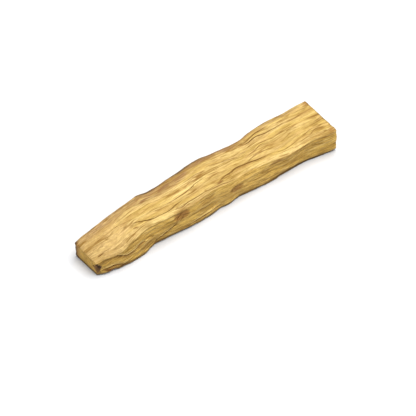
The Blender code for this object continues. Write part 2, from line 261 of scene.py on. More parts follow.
# Rust-coloured places: the line that crosses the near end, in y, and its half-width, how far the rim of
# that end is stained in from the end, where in y that stain begins and is full, and the far corners of
# the top, as x and y, with the square of how far they reach. Last, how dark the line, the rim and the
# corners are
END_STAIN = 4.0
END_STAIN_WIDTH = 0.45
RIM_STAIN_REACH = 0.7
RIM_STAIN = (2, 3.5)
CORNER_STAINS = ((49.2, 7.6), (48, -8))
CORNER_STAIN_SPREAD = 2.4
STAIN_SHARES = (0.85, 0.9, 0.8)

# How far the cracks stray to either side of their lines, in how many layers they are drawn, how close two
# may run in one layer, how far past its ends and to its sides each is drawn, and the place of what no
# crack is near
CRACK_STRAY = 0.16
CRACK_LAYERS = 4
CRACK_CLEARANCE = 1.3
CRACK_PAST_ENDS = 0.9
CRACK_FADE = (0.62, 0.42)
CRACK_NONE = 9.0

# How far the ridge between the top and the front has worn back along x, as a share of the ridge wear.
# Where it is worn more, the wear reaches further: the least of its reach, and what each share of wear
# adds. Then how far it reaches over the top and down the front, and how steeply it falls off there
RIDGE_WEAR = (
    (-50, 0.2), (-47, 0.8), (-43, 2), (-39, 2.1), (-35, 1.4), (-30, 1), (-24, 0.8), (-12, 0.9), (0, 0.7),
    (14, 0.5), (22, 0.2), (30, 0), (50, 0),
)
WEAR_REACH = (0.7, 0.55)
WEAR_OVER_TOP = (1.5, 1.5)
WEAR_DOWN_FRONT = (2.6, 1.3)

# The hollow broken out of the near front corner: centre, half-sizes, turn, and the way that it runs in.
# Painted shade makes it darkest at its core: the core's centre, how far off it the painted shade begins
# and is full, and the share of it that the rest of the hollow has
HOLLOW_CENTRE = (-50.3, -7.1, 3.1)
HOLLOW_HALF = (2.6, 3.4, 2.3)
HOLLOW_TURN = math.radians(20)
HOLLOW_INWARDS = (0.8, 0.6, 0)
HOLLOW_CORE = (-49.2, -6.5, 3.4)
HOLLOW_CORE_REACH = (2.2, 1.2)
HOLLOW_REST_SHARE = 0.3
HOLLOW_ROUGHNESS = 0.25

# How strong the painted shade along the back edge of the top is along x, and how wide its rim is
PAINTED_EDGE_SHADE = (
    (-50, 0.4), (-38, 0.25), (-29, 0.5), (-22, 0.95), (-12, 1), (-4, 0.95), (4, 0.65), (12, 0.3),
    (50, 0.25),
)
PAINTED_EDGE_SHADE_WIDTH = 0.95

# How far the foot of each side draws in, and from what height
BASE_TUCK = 0.45
BASE_TUCK_HEIGHT = 1.2

# Relief shared with the solid: depth, length along the grain and spacing across it
SOLID_RELIEF = ((0.34, 17, 2.1), (0.16, 8, 0.9))
UNDERSIDE_EVEN = 0.12

# Finer relief: the share of its depth, and its length, spacing and place. After its share, a torn step has
# how softly it drops. Then how much shallower all of it is on the underside and how much deeper on the
# front, and how deep the sawn ends' own relief is
FIBRE_RUNS = ((1, 6, 0.55, 11), (0.5, 3, 0.28, 13))
TORN_STEPS = ((1, 0.035, 20, 2.4, 17), (0.6, 0.05, 11, 1.1, 23))
UNDERSIDE_LESS = 0.7
FRONT_MORE = 0.6
END_RELIEF = 0.04

# Other noise that the mesh reads: its length along the grain, its spacing across it and its place
RUNS = {
    "crack_stray": (3.5, 1, 71),
    "creases": (24, 1.9, 29),
    "creased_wood": (7, 2, 41),
    "sawn_ends": (9, 0.7, 61),
    "hollow_wall": (1.5, 0.9, 17),
    "brown_back": (30, 3, 47),
    "brown_strays": (16, 1.3, 53),
}

# The streaked layers of the wood, in millimetres of the blank: the streaks' length along the grain, their
# spacing across it, the detail and the place of their noise, and the noise at which each begins and is full
STREAK_LAYERS = {
    "broad": (30, 2.4, 2, 0, 0.38, 0.62),
    "warm": (8, 1.5, 2, 111, 0.42, 0.62),
    "middle": (13, 0.7, 3, 7, 0.47, 0.64),
    "coarse": (5, 0.5, 2, 13, 0.35, 0.65),
    "short": (2.2, 0.42, 2, 121, 0.46, 0.62),
    "fine": (3.5, 0.22, 2, 19, 0.4, 0.62),
    "mottle": (1.1, 0.6, 2, 131, 0.44, 0.6),
    # Streaks of painted highlight on the sides
    "painted_highlight_streaks": (8, 0.6, 3, 141, 0.54, 0.66),
    # Streaks of painted shade on the sides
    "painted_shade_streaks": (6, 0.5, 3, 91, 0.5, 0.64),
    "rings": (90, 0.9, 2, 3, 0.4, 0.6),
    "pores": (1.8, 0.14, 1, 31, 0.62, 0.74),
    "threads": (4.5, 0.3, 2, 171, 0.5, 0.62),
    "rim": (4, 2, 2, 161, 0.25, 0.55),
}

# Other noise that the material reads: its length, spacing, detail and place. Hair lines have no detail,
# and the wander of all the grain ends with how far it wanders. Ragged edges and bumps have a long run
# and a short one
WANDER = (13, 5, 1.2)
HAIR_LINES = ((26, 1.5, 37), (14, 0.8, 67))
RAGGED_EDGES = ((9, 0.4, 3, 43), (3, 0.3, 2, 151))
BUMPS = ((5, 0.45, 2, 83), (3.5, 0.16, 2, 57))

# Where along x the peach-coloured near end of the top begins and is full
PEACH_END = (-26, -40)

# The share of the torn fibres that ledges have and that the rest has, and how far from the middle of
# the stick the last of them lie and they begin to thin out
TORN_LEDGES = 0.8
TORN_ELSEWHERE = 0.14
TORN_WITHIN = (48, 46)

# How the torn fibres are made: what their tree takes in, how fast each tapers, and the shares of the widest
# and the longest that they vary between
FIBRE_INPUTS = {
    "Mesh": "Geometry", "Density": "Float", "Length": "Float", "Width": "Float",
    "Thickness": "Float", "Lift": "Float", "Seed": "Int", "Material": "Material",
}
FIBRE_TAPER = 3.7
FIBRE_GIRTHS = (0.45, 1.0)
FIBRE_LENGTHS = (0.25, 1.0)

# The even light's colour, the floor's half-width, where the camera aims and how far it sees, in metres
SKY_COLOUR = (0.97, 0.985, 1.0, 1.0)
FLOOR_HALF = 3.0
CAMERA_AIM = (-2.4 * MM, -4.3 * MM, 0.33 * MM)
CAMERA_CLIP = (0.05, 20.0)


def metres(name, description, default):
    return FloatProperty(name=name, description=description, default=default, precision=5, unit="LENGTH")


def number(name, description, default, subtype="NONE"):
    return FloatProperty(name=name, description=description, default=default, subtype=subtype)


def degrees(name, description, default):
    return number(name, description, math.radians(default), "ANGLE")


def vector(name, description, default, subtype):
    return FloatVectorProperty(
        name=name, description=description, default=default, precision=5, subtype=subtype
    )


def paint(name, description, default):
    return vector(name, description, default, "COLOR")


class StickShape(bpy.types.PropertyGroup):
    """How deep the fine relief of the split wood is."""

    fibre_relief: metres("Fibre relief", "Depth of the fine ridges between bundles of fibres", 0.08 * MM)
    ledge_step: metres("Ledge step", "Height of the steps where a layer of wood tore off", 0.13 * MM)
    crease_depth: metres("Crease depth", "Depth of the hair lines that wander along the grain", 0.09 * MM)
    ridge_wear: metres("Ridge wear", "Wear of the ridge over the front, where its share is 1", 0.95 * MM)


class WoodColours(bpy.types.PropertyGroup):
    """The colours of the wood."""

    # Pale is also laid as painted highlight on the ledges' lips and in streaks on the sides
    pale: paint("Pale wood", "Colour of the lightest streaks", (0.785, 0.58, 0.218))
    golden: paint("Golden wood", "Colour of most of the wood", (0.63, 0.43, 0.11))
    tan: paint("Tan wood", "Colour of the darker streaks", (0.4, 0.248, 0.046))
    heartwood: paint("Heartwood", "Colour of the brown band along the back", (0.24, 0.122, 0.056))
    # The sides' more orange tone, made lighter as painted light on these less lit faces
    side: paint("Side wood", "Colour that the front, back and underside lean towards", (0.8, 0.48, 0.078))
    # The checks' dark brown: partly the wood's colour there, partly painted shade inside them
    check: paint("Check", "Colour inside the drying checks", (0.2, 0.076, 0.006))
    # Painted shade: the near-black laid at the foot of the sides, along the rims and deep in the hollow
    gap: paint("Gap", "Colour deep in the hollow and along the dark rims", (0.06, 0.026, 0.008))
    peach: paint("Peach wood", "Colour of the warmer patches", (0.672, 0.424, 0.168))
    # Rust is also laid as painted shade below the front's ledges and under the ridge
    rust: paint("Rust", "Colour of the torn places on the front", (0.296, 0.132, 0.024))
    # Fibre is also laid as painted shade in the lows of the fine relief and in streaks on the sides
    fibre: paint("Fibre", "Colour of pores, hair lines and the lows between fibres", (0.272, 0.136, 0.016))
    sawn: paint("Sawn end", "Colour of the end grain", (0.68, 0.405, 0.068))


class TornFibres(bpy.types.PropertyGroup):
    """The torn fibres that lie on the ledges and on the split faces."""

    density: number("Density", "Fibres on each square metre of the most torn wood", 1.1e6)
    length: metres("Length", "Length of the longest fibres", 4.2 * MM)
    width: metres("Width", "Width of the widest fibres", 0.15 * MM)
    thickness: metres("Thickness", "Thickness of the thickest fibres", 0.09 * MM)
    lift: degrees("Lift", "How far one end of a fibre may stand up from the wood", 3)
    seed: IntProperty(name="Seed", description="Number that the fibres' places come from", default=4)


class StudioSettings(bpy.types.PropertyGroup):
    """The camera, the floor and the light."""

    azimuth: degrees("Azimuth", "How far the camera is turned round the stick", -37.5)
    elevation: degrees("Elevation", "How far above the floor the camera looks from", 47)
    distance: metres("Distance", "From the camera to the point that it looks at", 0.778)
    aim: vector("Aim", "The point that the camera looks at", CAMERA_AIM, "TRANSLATION")
    lens: number("Lens", "Focal length in millimetres", 200.0, "DISTANCE_CAMERA")
    floor_colour: paint("Floor", "Colour of the floor", (0.686, 0.686, 0.693))
    key_power: number("Key light", "Power of the soft light overhead", 5.35, "POWER")
    key_size: metres("Key size", "Width of the soft light overhead", 0.55)
    key_distance: metres("Key distance", "From the soft light to the stick", 0.65)
    key_direction: vector("Key direction", "The way to the soft light", (0.28, 0.0, 1.0), "DIRECTION")
    fill_strength: number("Fill", "Strength of the even light from all round", 0.73)


class Value:
    """A node's output that can be used in Python sums. Each sum adds a Math node."""

    def __init__(self, tree, socket):
        self.tree = tree
        self.socket = socket

    def other(self, output):
        """Another output of the same node."""
        return Value(self.tree, self.socket.node.outputs[output])

    def __abs__(self):
        return self.tree.maths("ABSOLUTE", self)

    def __add__(self, other):
        return self.tree.maths("ADD", self, other)

    def __sub__(self, other):
        return self.tree.maths("SUBTRACT", self, other)

    def __rsub__(self, other):
        return self.tree.maths("SUBTRACT", other, self)

    def __mul__(self, other):
        return self.tree.maths("MULTIPLY", self, other)

    __radd__ = __add__
    __rmul__ = __mul__


class Tree:
    """A node tree that nodes are added to, each with its settings first and then its sockets."""

    def __init__(self, tree):
        self.nodes = tree.nodes
        self.links = tree.links

    def node(self, kind, settings=None, sockets=None, output=0):
        made = self.nodes.new(kind)
        for name, setting in (settings or {}).items():
            setattr(made, name, setting)
        for key, value in (sockets or {}).items():
            if isinstance(value, Value):
                self.links.new(value.socket, made.inputs[key])
            else:
                made.inputs[key].default_value = value
        return Value(self, made.outputs[output]) if made.outputs else None

    def maths(self, operation, *values, kind="ShaderNodeMath"):
        return self.node(kind, {"operation": operation}, dict(enumerate(values)))

    def vector_maths(self, operation, *values):
        return self.maths(operation, *values, kind="ShaderNodeVectorMath")

    def attribute(self, name, output="Fac"):
        return self.node("ShaderNodeAttribute", {"attribute_name": name}, output=output)

    def blend(self, factor, first, second):
        """One colour laid over another by a factor."""
        return self.node("ShaderNodeMix", {"data_type": "RGBA"}, {0: factor, 6: first, 7: second}, output=2)

    def coats(self, colour, *coats):
        """Further colours laid over a colour in turn, each by its own factor."""
        for factor, coat in coats:
            colour = self.blend(factor, colour, opaque(coat))
        return colour

    def ease(self, value, low, high):
        """0 below low, 1 above high, and smooth between them. Low may be the higher of the two."""
        sockets = {"Value": value, "From Min": low, "From Max": high}
        return self.node("ShaderNodeMapRange", {"interpolation_type": "SMOOTHSTEP"}, sockets)

    def streaks(self, grain, length, spacing, detail=2, place=0, output="Fac"):
        """Noise drawn out along the grain, from 0 to 1."""
        stretch = {
            "Vector": grain,
            "Location": (place, place, place),
            "Scale": (1 / length, 1 / spacing, 1 / spacing),
        }
        sockets = {"Vector": self.node("ShaderNodeMapping", None, stretch), "Scale": 1, "Detail": detail}
        return self.node("ShaderNodeTexNoise", None, sockets, output)

    def layer(self, grain, name):
        """One of the streaked layers of the wood, from 0 to 1."""
        length, spacing, detail, place, low, high = STREAK_LAYERS[name]
        return self.ease(self.streaks(grain, length, spacing, detail, place), low, high)

    def cracks(self):
        """How dark the cracks are, partly as painted shade inside them, drawn from their places in each
        layer.
        """
        darkest = 0
        for k in range(CRACK_LAYERS):
            inside = self.ease(abs(self.attribute(f"crack_place_{k}")), 1.2, 0.4)
            darkest = self.maths("MAXIMUM", darkest, self.attribute(f"crack_dark_{k}") * inside)
        return darkest

    def wavy(self, grain, length, spacing, reach):
        """The grain's place, shifted across it by up to about half of reach."""
        drift = self.streaks(grain, length, spacing, 1, 5, "Color")
        shift = self.vector_maths("MULTIPLY_ADD", drift, (0, reach, reach), (0, -reach / 2, -reach / 2))
        return self.vector_maths("ADD", grain, shift)

    def hair_lines(self, grain, length, spacing, place):
        """Thin lines that wander along the grain, here and there."""
        lines = self.ease(abs(self.streaks(grain, length, spacing, 1, place) - 0.5), 0.06, 0)
        return lines * self.ease(self.streaks(grain, 8, 2.2, 1, place + 3), 0.48, 0.62)


def opaque(colour):
    return (*colour, 1.0)


def new_material(name):
    material = bpy.data.materials.new(name)
    material.use_nodes = True
    material.node_tree.nodes.clear()
    return material, Tree(material.node_tree)


def finish_material(tree, **sockets):
    """Adds the shader and the output. The sockets are the shader's, with _ for each space."""
    named = {key.replace("_", " "): value for key, value in sockets.items()}
    shader = tree.node("ShaderNodeBsdfPrincipled", None, named)
    tree.node("ShaderNodeOutputMaterial", None, {"Surface": shader})


def wood_colour(tree, grain, side, colours):
    """Streaks of pale, golden and tan wood along the grain, crossed by fine fibres."""
    x = tree.node("ShaderNodeSeparateXYZ", None, {0: grain})
    near_end = tree.ease(x, *PEACH_END) * (1 - side)
    broad = tree.layer(grain, "broad") + near_end * 0.5
    return tree.coats(
        tree.blend(broad, opaque(colours.golden), opaque(colours.pale)),
        (tree.layer(grain, "warm") * 0.4, colours.peach),
        (near_end * 0.42, colours.peach),
        # The sides' more orange tone, with painted light that lifts these less lit faces
        (side * 0.65, colours.side),
        (tree.layer(grain, "middle") * (0.36 - near_end * 0.2), colours.tan),
        (tree.layer(grain, "coarse") * 0.26, colours.tan),
        (tree.layer(grain, "mottle") * (near_end * 0.22 + 0.06), colours.heartwood),
        (tree.layer(grain, "short") * (side * 0.16 + 0.26), colours.fibre),
        (tree.layer(grain, "fine") * 0.2, colours.tan),
    )


def saw_marks(tree):
    """The marks that the saw left up and down the end grain."""
    upright = {"Vector": tree.attribute("grain", "Vector"), "Scale": (0.1, 2.6, 0.16)}
    marks = {"Vector": tree.node("ShaderNodeMapping", None, upright), "Scale": 1}
    return tree.ease(tree.node("ShaderNodeTexNoise", None, marks), 0.5, 0.66)


def wood_material(colours):
    """Split wood. Its pattern reads the grain attribute, in millimetres of the straight blank."""
    material, tree = new_material("split_wood")
    grain = tree.wavy(tree.attribute("grain", "Vector"), *WANDER)
    side, sawn = tree.attribute("side"), tree.attribute("sawn")
    pores = tree.layer(grain, "pores")
    long_hairs, short_hairs = (tree.hair_lines(grain, *run) for run in HAIR_LINES)
    hairs = (long_hairs + short_hairs * 0.9) * (1 - sawn)
    long_rags, short_rags = (tree.streaks(grain, *run) - 0.5 for run in RAGGED_EDGES)
    ragged = long_rags * 1.6 + short_rags * 1.4
    brown = tree.ease(tree.attribute("heartwood") * (ragged * 1.1 + 1), 0.1, 1.8)
    rusty = tree.ease(tree.attribute("rust") + ragged * 0.8, 0.15, 0.85)
    broken = tree.attribute("hollow") + ragged * 0.12
    crack = tree.cracks()
    colour = tree.coats(
        wood_colour(tree, grain, side, colours),
        # Painted highlight: pale streaks along the grain of the sides
        (tree.layer(grain, "painted_highlight_streaks") * side * 0.5, colours.pale),
        # Painted shade: dark streaks along the grain of the sides
        (tree.layer(grain, "painted_shade_streaks") * side * 0.38, colours.fibre),
        # Painted highlight along the lip above each ledge
        (tree.attribute("painted_lip_highlight") * 0.6, colours.pale),
        (sawn * 0.75, colours.sawn),
        (sawn * tree.layer(grain, "rings") * 0.4, colours.tan),
        (sawn * saw_marks(tree) * 0.35, colours.heartwood),
        (brown * 0.88, colours.heartwood),
        (brown * tree.layer(grain, "threads") * 0.7, colours.check),
        # The torn places' own rust colour and the end stains, with painted shade below the ledges and under
        # the ridge
        (rusty * 0.9, colours.rust),
        (pores * 0.4, colours.fibre),
        # Painted shade in the lows of the fine relief
        (tree.ease(tree.attribute("relief"), 0.2, 0.9) * 0.35, colours.fibre),
        (hairs * 0.8, colours.fibre),
        # Painted contact shadow: the sides darken towards the floor
        (tree.attribute("foot") * 0.8, colours.gap),
        # Painted shade along the rims, broken up along the grain
        (tree.attribute("rim") * tree.layer(grain, "rim") * 0.8, colours.gap),
        (tree.ease(broken, 0.08, 0.22) * 0.85, colours.heartwood),
        # Painted shade deep in the hollow, darkest at its core
        (tree.ease(broken, 0.38, 0.8) * 0.95, colours.gap),
        # The checks' dark brown, partly painted shade inside them
        (crack, colours.check),
    )
    coarse, fibres = (tree.streaks(grain, *run) for run in BUMPS)
    height = (coarse * 1.3 + fibres * 0.8) * (side * 0.8 + 1) - pores * 0.4 - hairs * 0.9 - crack * 1.6
    bump = tree.node("ShaderNodeBump", None, {"Strength": 0.8, "Distance": 0.12 * MM, "Height": height})
    rough = fibres * 0.2 + 0.58
    finish_material(tree, Base_Color=colour, Roughness=rough, Normal=bump, Specular_IOR_Level=0.3)
    return material


def one_fibre(tree):
    """A thin spindle, one across and one long, that tapers to both its ends."""
    sizes = {"Vertices": 5, "Side Segments": 4, "Radius": 0.5, "Depth": 1.0}
    rod = tree.node("GeometryNodeMeshCylinder", {"fill_type": "NGON"}, sizes)
    parts = tree.node("ShaderNodeSeparateXYZ", None, {0: tree.node("GeometryNodeInputPosition")})
    height = parts.other(2)
    full = 1.0 - height * height * FIBRE_TAPER
    tapered = tree.node("ShaderNodeCombineXYZ", None, {0: parts * full, 1: parts.other(1) * full, 2: height})
    return tree.node("GeometryNodeSetPosition", None, {"Geometry": rod, "Position": tapered})


def fibre_tree(group):
    """Lays fibres along the grain of a mesh's torn places. Returns the inputs' identifiers by name."""
    new_socket = group.interface.new_socket
    keys = {
        name: new_socket(name=name, in_out="INPUT", socket_type=f"NodeSocket{kind}").identifier
        for name, kind in FIBRE_INPUTS.items()
    }
    new_socket(name="Fibres", in_out="OUTPUT", socket_type="NodeSocketGeometry")
    tree = Tree(group)
    mesh = tree.node("NodeGroupInput")
    named = {name: mesh.other(k) for k, name in enumerate(FIBRE_INPUTS)}

    def read(name, kind="FLOAT_VECTOR"):
        return tree.node("GeometryNodeInputNamedAttribute", {"data_type": kind}, {"Name": name})

    def write(geometry, name, value):
        settings = {"data_type": "FLOAT_VECTOR", "domain": "POINT"}
        kept = {"Geometry": geometry, "Name": name, "Value": value}
        return tree.node("GeometryNodeStoreNamedAttribute", settings, kept)

    def random(low, high, offset):
        chosen = {2: low, 3: high, "Seed": named["Seed"] + offset}
        return tree.node("FunctionNodeRandomValue", {"data_type": "FLOAT"}, chosen, output=1)

    density = named["Density"] * read("torn", "FLOAT")
    spread = {"Mesh": named["Mesh"], "Density": density, "Seed": named["Seed"]}
    points = tree.node("GeometryNodeDistributePointsOnFaces", {"distribute_method": "RANDOM"}, spread)
    position = tree.node("GeometryNodeInputPosition")
    turned = tree.node("FunctionNodeAlignRotationToVector", {"axis": "Z"}, {"Vector": read("grain_way")})
    upright = {"Rotation": turned, "Vector": points.other(1)}
    turned = tree.node("FunctionNodeAlignRotationToVector", {"axis": "X", "pivot_axis": "Z"}, upright)
    tilt = tree.node("ShaderNodeCombineXYZ", None, {1: named["Lift"] * random(-1.0, 1.0, 1)})
    tilted = {0: turned, 1: tree.node("FunctionNodeEulerToRotation", None, {0: tilt})}
    turned = tree.node("FunctionNodeRotateRotation", {"rotation_space": "LOCAL"}, tilted)
    girth = random(*FIBRE_GIRTHS, 2)
    long = named["Length"] * random(*FIBRE_LENGTHS, 3)
    size = {0: named["Thickness"] * girth, 1: named["Width"] * girth, 2: long}
    laid = {
        "Points": write(points, "root_place", position),
        "Instance": one_fibre(tree),
        "Rotation": turned,
        "Scale": tree.node("ShaderNodeCombineXYZ", None, size),
    }
    fibres = tree.node("GeometryNodeInstanceOnPoints", None, laid)
    fibres = tree.node("GeometryNodeRealizeInstances", None, {0: fibres})
    moved = tree.vector_maths("SUBTRACT", position, read("root_place"))
    place = tree.vector_maths("MULTIPLY_ADD", moved, (1 / MM, 1 / MM, 1 / MM), read("grain"))
    fibres = tree.node("GeometryNodeSetShadeSmooth", None, {"Geometry": write(fibres, "grain", place)})
    fibres = tree.node("GeometryNodeSetMaterial", None, {"Geometry": fibres, "Material": named["Material"]})
    tree.node("NodeGroupOutput", None, {0: fibres})
    return keys


def along(points, x):
    """Reads a smooth line through points at each x. It never swings past its points."""
    table = np.array(points, float)
    stations, places = table[:, 0], table[:, 1:]
    steps = np.diff(places, axis=0) / np.diff(stations)[:, None]
    before, after = steps[:-1], steps[1:]
    level = before * after <= 0
    slopes = np.zeros_like(places)
    slopes[1:-1] = np.where(level, 0.0, 2 * before * after / np.where(level, 1.0, before + after))
    i = np.clip(np.searchsorted(stations, x, side="right") - 1, 0, len(stations) - 2)
    span = (stations[i + 1] - stations[i])[:, None]
    t = np.clip((x - stations[i])[:, None] / span, 0.0, 1.0)
    return (
        places[i] * (1 + 2 * t) * (1 - t) ** 2
        + slopes[i] * span * t * (1 - t) ** 2
        + places[i + 1] * (3 - 2 * t) * t**2
        - slopes[i + 1] * span * (1 - t) * t**2
    )


def ease(value, low, high):
    t = np.clip((value - low) / (high - low), 0.0, 1.0)
    return t * t * (3 - 2 * t)


def streaks(grain, length, spacing, place=0.0):
    """Noise drawn out along the grain, from about -1 to 1, read where the blank was still straight."""
    stretched = grain / (length, spacing, spacing) + place
    return np.array([noise.noise(Vector(point)) for point in stretched.tolist()])


def blank_outline():
    """The blank's section: eased corners and straight runs, from the middle of its top back corner round
    over the top, down the front, back along the underside and up the back."""
    half_width, middle = BLANK_WIDTH / 2 - EASED_EDGE, BLANK_HEIGHT / 2
    half_height = middle - EASED_EDGE
    corners = ((1, 1, TOP_STEPS), (-1, 1, SIDE_STEPS), (-1, -1, TOP_STEPS), (1, -1, SIDE_STEPS))
    points = []
    for k, (side, up, run) in enumerate(corners):
        angles = np.radians(90 * k + np.linspace(0, 90, CORNER_STEPS + 1))
        centre = np.array((side * half_width, middle + up * half_height))
        arc = centre + EASED_EDGE * np.column_stack((np.cos(angles), np.sin(angles)))
        next_side, next_up, _ = corners[(k + 1) % 4]
        away = EASED_EDGE * np.round((np.cos(angles[-1]), np.sin(angles[-1])))
        reach = np.array((next_side * half_width, middle + next_up * half_height)) + away
        share = np.linspace(0, 1, run + 1)[1:-1, None]
        points += [arc, arc[-1] + (reach - arc[-1]) * share]
    return np.roll(np.concatenate(points), -(CORNER_STEPS // 2), axis=0)


def cap_grid(outline, across, down):
    """Points that fill an outline between its four sides, and the grid of all their numbers."""
    count = len(outline)
    numbers = np.zeros((across + 1, down + 1), int)
    numbers[:, 0] = np.arange(across + 1)
    numbers[across, :] = across + np.arange(down + 1)
    numbers[:, down] = np.arange(2 * across + down, across + down - 1, -1)
    numbers[0, :] = (2 * (across + down) - np.arange(down + 1)) % count
    inner = (across - 1) * (down - 1)
    numbers[1:-1, 1:-1] = count + np.arange(inner).reshape(across - 1, down - 1)
    u = np.linspace(0, 1, across + 1)[:, None, None]
    v = np.linspace(0, 1, down + 1)[None, :, None]
    top, base = outline[numbers[:, 0]][:, None], outline[numbers[:, down]][:, None]
    back, front = outline[numbers[0]][None], outline[numbers[across]][None]
    corners = (1 - v) * ((1 - u) * top[:1] + u * top[-1:]) + v * ((1 - u) * base[:1] + u * base[-1:])
    filled = (1 - v) * top + v * base + (1 - u) * back + u * front - corners
    return filled[1:-1, 1:-1].reshape(inner, 2), numbers


def quads(numbers):
    """The faces between the rows and columns of a grid of point numbers."""
    corners = (numbers[:-1, :-1], numbers[1:, :-1], numbers[1:, 1:], numbers[:-1, 1:])
    return np.stack(corners, axis=-1).reshape(-1, 4)


def straight_blank():
    """The blank's points, its faces, and which sawn end each point is inside: -1, 1, or 0 for neither."""
    outline = blank_outline()
    count = len(outline)
    across, down = TOP_STEPS + CORNER_STEPS, SIDE_STEPS + CORNER_STEPS
    x = np.linspace(-LENGTH / 2, LENGTH / 2, STATIONS + 1)
    x[1], x[-2] = x[0] + RIM_EASE, x[-1] - RIM_EASE
    ring = np.concatenate((np.repeat(x, count)[:, None], np.tile(outline, (len(x), 1))), axis=1)
    eased = np.abs(ring[:, 0]) > LENGTH / 2 - RIM_EASE / 2
    inset = 1 - RIM_EASE / (BLANK_HEIGHT / 2)
    ring[eased, 1] *= inset
    ring[eased, 2] = BLANK_HEIGHT / 2 + (ring[eased, 2] - BLANK_HEIGHT / 2) * inset
    rings = np.arange(len(ring)).reshape(len(x), count)
    filled, numbers = cap_grid(ring[:count, 1:], across, down)
    near_start, far_start = len(ring), len(ring) + len(filled)
    near_cap = np.where(numbers < count, numbers, numbers - count + near_start)
    far_cap = np.where(numbers < count, numbers + rings[-1, 0], numbers - count + far_start)
    caps = [np.insert(filled, 0, end, axis=1) for end in (x[0], x[-1])]
    wrapped = np.concatenate((rings, rings[:, :1]), axis=1)
    faces = np.concatenate((quads(wrapped)[:, ::-1], quads(near_cap)[:, ::-1], quads(far_cap)))
    end = np.concatenate((np.zeros(len(ring)), -np.ones(len(filled)), np.ones(len(filled))))
    return np.concatenate((ring, *caps)), faces, end


def edge_share(across):
    """How much a lifted edge of the underside counts here: 1 at that edge, and 0 over the flat middle."""
    return np.maximum(0.0, (2 * across - 1 - FLAT_SHARE) / (1 - FLAT_SHARE)) ** 2


def bend_to_grain(grain):
    """Where the points of the straight blank lie in the split stick, between its four long edges."""
    x, across, up = grain[:, 0], 0.5 + grain[:, 1] / BLANK_WIDTH, grain[:, 2:] / BLANK_HEIGHT
    edges = (TOP_BACK_EDGE, TOP_FRONT_EDGE, BASE_FRONT_EDGE, BASE_BACK_EDGE)
    top_back, top_front, base_front, base_back = (along(edge, x) for edge in edges)
    base = base_front + (base_back - base_front) * across[:, None]
    base[:, 1] = base_front[:, 1] * edge_share(1 - across) + base_back[:, 1] * edge_share(across)
    top = top_front + (top_back - top_front) * across[:, None]
    y, z = (base + (top - base) * up).T
    near_end = np.clip(1 - (x + LENGTH / 2) / CUT_REACH, 0, 1)
    far_end = np.clip(1 - (LENGTH / 2 - x) / CUT_REACH, 0, 1)
    skew = near_end * NEAR_CUT_SKEW * np.maximum(0.0, NEAR_CUT_BACK_CORNER - y)
    lean = far_end * (FAR_CUT_LEAN * z + FAR_CUT_SKEW * np.maximum(0.0, FAR_CUT_BACK_CORNER - y))
    return np.column_stack((x + skew - lean, y, z))


def reach_along(line, x):
    """1 along a line of points, easing to 0 at both its ends and past them."""
    start, end = line[0][0], line[-1][0]
    share = np.clip((x - start) / (end - start), 0, 1)
    return np.minimum(1.0, 4 * np.sin(np.pi * share) / np.pi)


def layers_of(rows):
    """Puts each crack in the first layer where no other one runs close to it."""
    stations = np.arange(-LENGTH / 2, LENGTH / 2, 0.5)
    traced, layers = [], []
    for line, *_ in rows:
        heights = along(line, stations)[:, 0]
        heights[(stations < line[0][0] - 1) | (stations > line[-1][0] + 1)] = np.nan
        beside = [np.any(np.abs(heights - other) < CRACK_CLEARANCE) for other in traced]
        close = {layer for layer, near in zip(layers, beside) if near}
        layers.append(min(set(range(CRACK_LAYERS)) - close))
        traced.append(heights)
    return layers


class Cracks:
    """The cracks of one side: how deep they cut, and the nearest one's place and darkness in each layer.

    The place is in half-widths from the crack's middle, so that a material can draw it finer than the mesh.
    """

    def __init__(self, rows, x, height, side):
        self.depth = np.zeros(len(x))
        self.place = np.full((CRACK_LAYERS, len(x)), CRACK_NONE)
        self.darkness = np.zeros((CRACK_LAYERS, len(x)))
        for (line, width, deepest, dark), layer in zip(rows, layers_of(rows)):
            opened = reach_along(line, x)
            half = width * (0.25 + 0.25 * opened)
            away = height - along(line, x)[:, 0]
            self.depth += side * deepest * opened * ease(np.abs(away), np.maximum(half, 0.2), 0.0)
            beside = (x > line[0][0] - CRACK_PAST_ENDS) & (x < line[-1][0] + CRACK_PAST_ENDS)
            nearer = beside & (np.abs(away / half) < np.abs(self.place[layer]))
            self.place[layer, nearer] = (away / half)[nearer]
            seen = side * dark * np.sqrt(opened) * ease(np.abs(away), *CRACK_FADE)
            self.darkness[layer, nearer] = seen[nearer]


def stray(x):
    """How far the cracks stray from their lines, along the stick."""
    level = np.zeros(len(x))
    return CRACK_STRAY * streaks(np.column_stack((x, level, level)), *RUNS["crack_stray"])


def top_row_at(x, y):
    """How far across the blank a line on the top lies."""
    front, back = along(TOP_FRONT_EDGE, x)[:, 0], along(TOP_BACK_EDGE, x)[:, 0]
    return BLANK_WIDTH * ((y - front) / (back - front) - 0.5)


def front_row_at(x, z):
    """How far up the blank a line on the front lies."""
    base, top = along(BASE_FRONT_EDGE, x)[:, 1], along(TOP_FRONT_EDGE, x)[:, 1]
    return BLANK_HEIGHT * (z - base) / (top - base)


def slide_rows(grain, face, column, ends, steps, guides, row_at):
    """Slides the rows of points on one face of the blank along it, so that some rows follow given lines.

    Each of those rows lies on its lines, and runs straight between them and to its own place at both ends.
    """
    stations = np.unique(grain[face, 0])
    rows = ends[0] + (ends[1] - ends[0]) * np.array([0, *(row for row, _ in guides), steps]) / steps
    places = np.repeat(rows[None], len(stations), axis=0)
    for k, (_, lines) in enumerate(guides, start=1):
        known = np.zeros(len(stations), bool)
        known[[0, -1]] = True
        for line in lines:
            on = (stations >= line[0][0]) & (stations <= line[-1][0])
            there = along(line, stations[on])[:, 0] + stray(stations[on])
            places[on, k] = row_at(stations[on], there)
            known |= on
        places[:, k] = np.interp(stations, stations[known], places[known, k])
    for station, place in zip(stations, places):
        ring = face & (grain[:, 0] == station)
        grain[ring, column] = np.interp(grain[ring, column], rows, place)


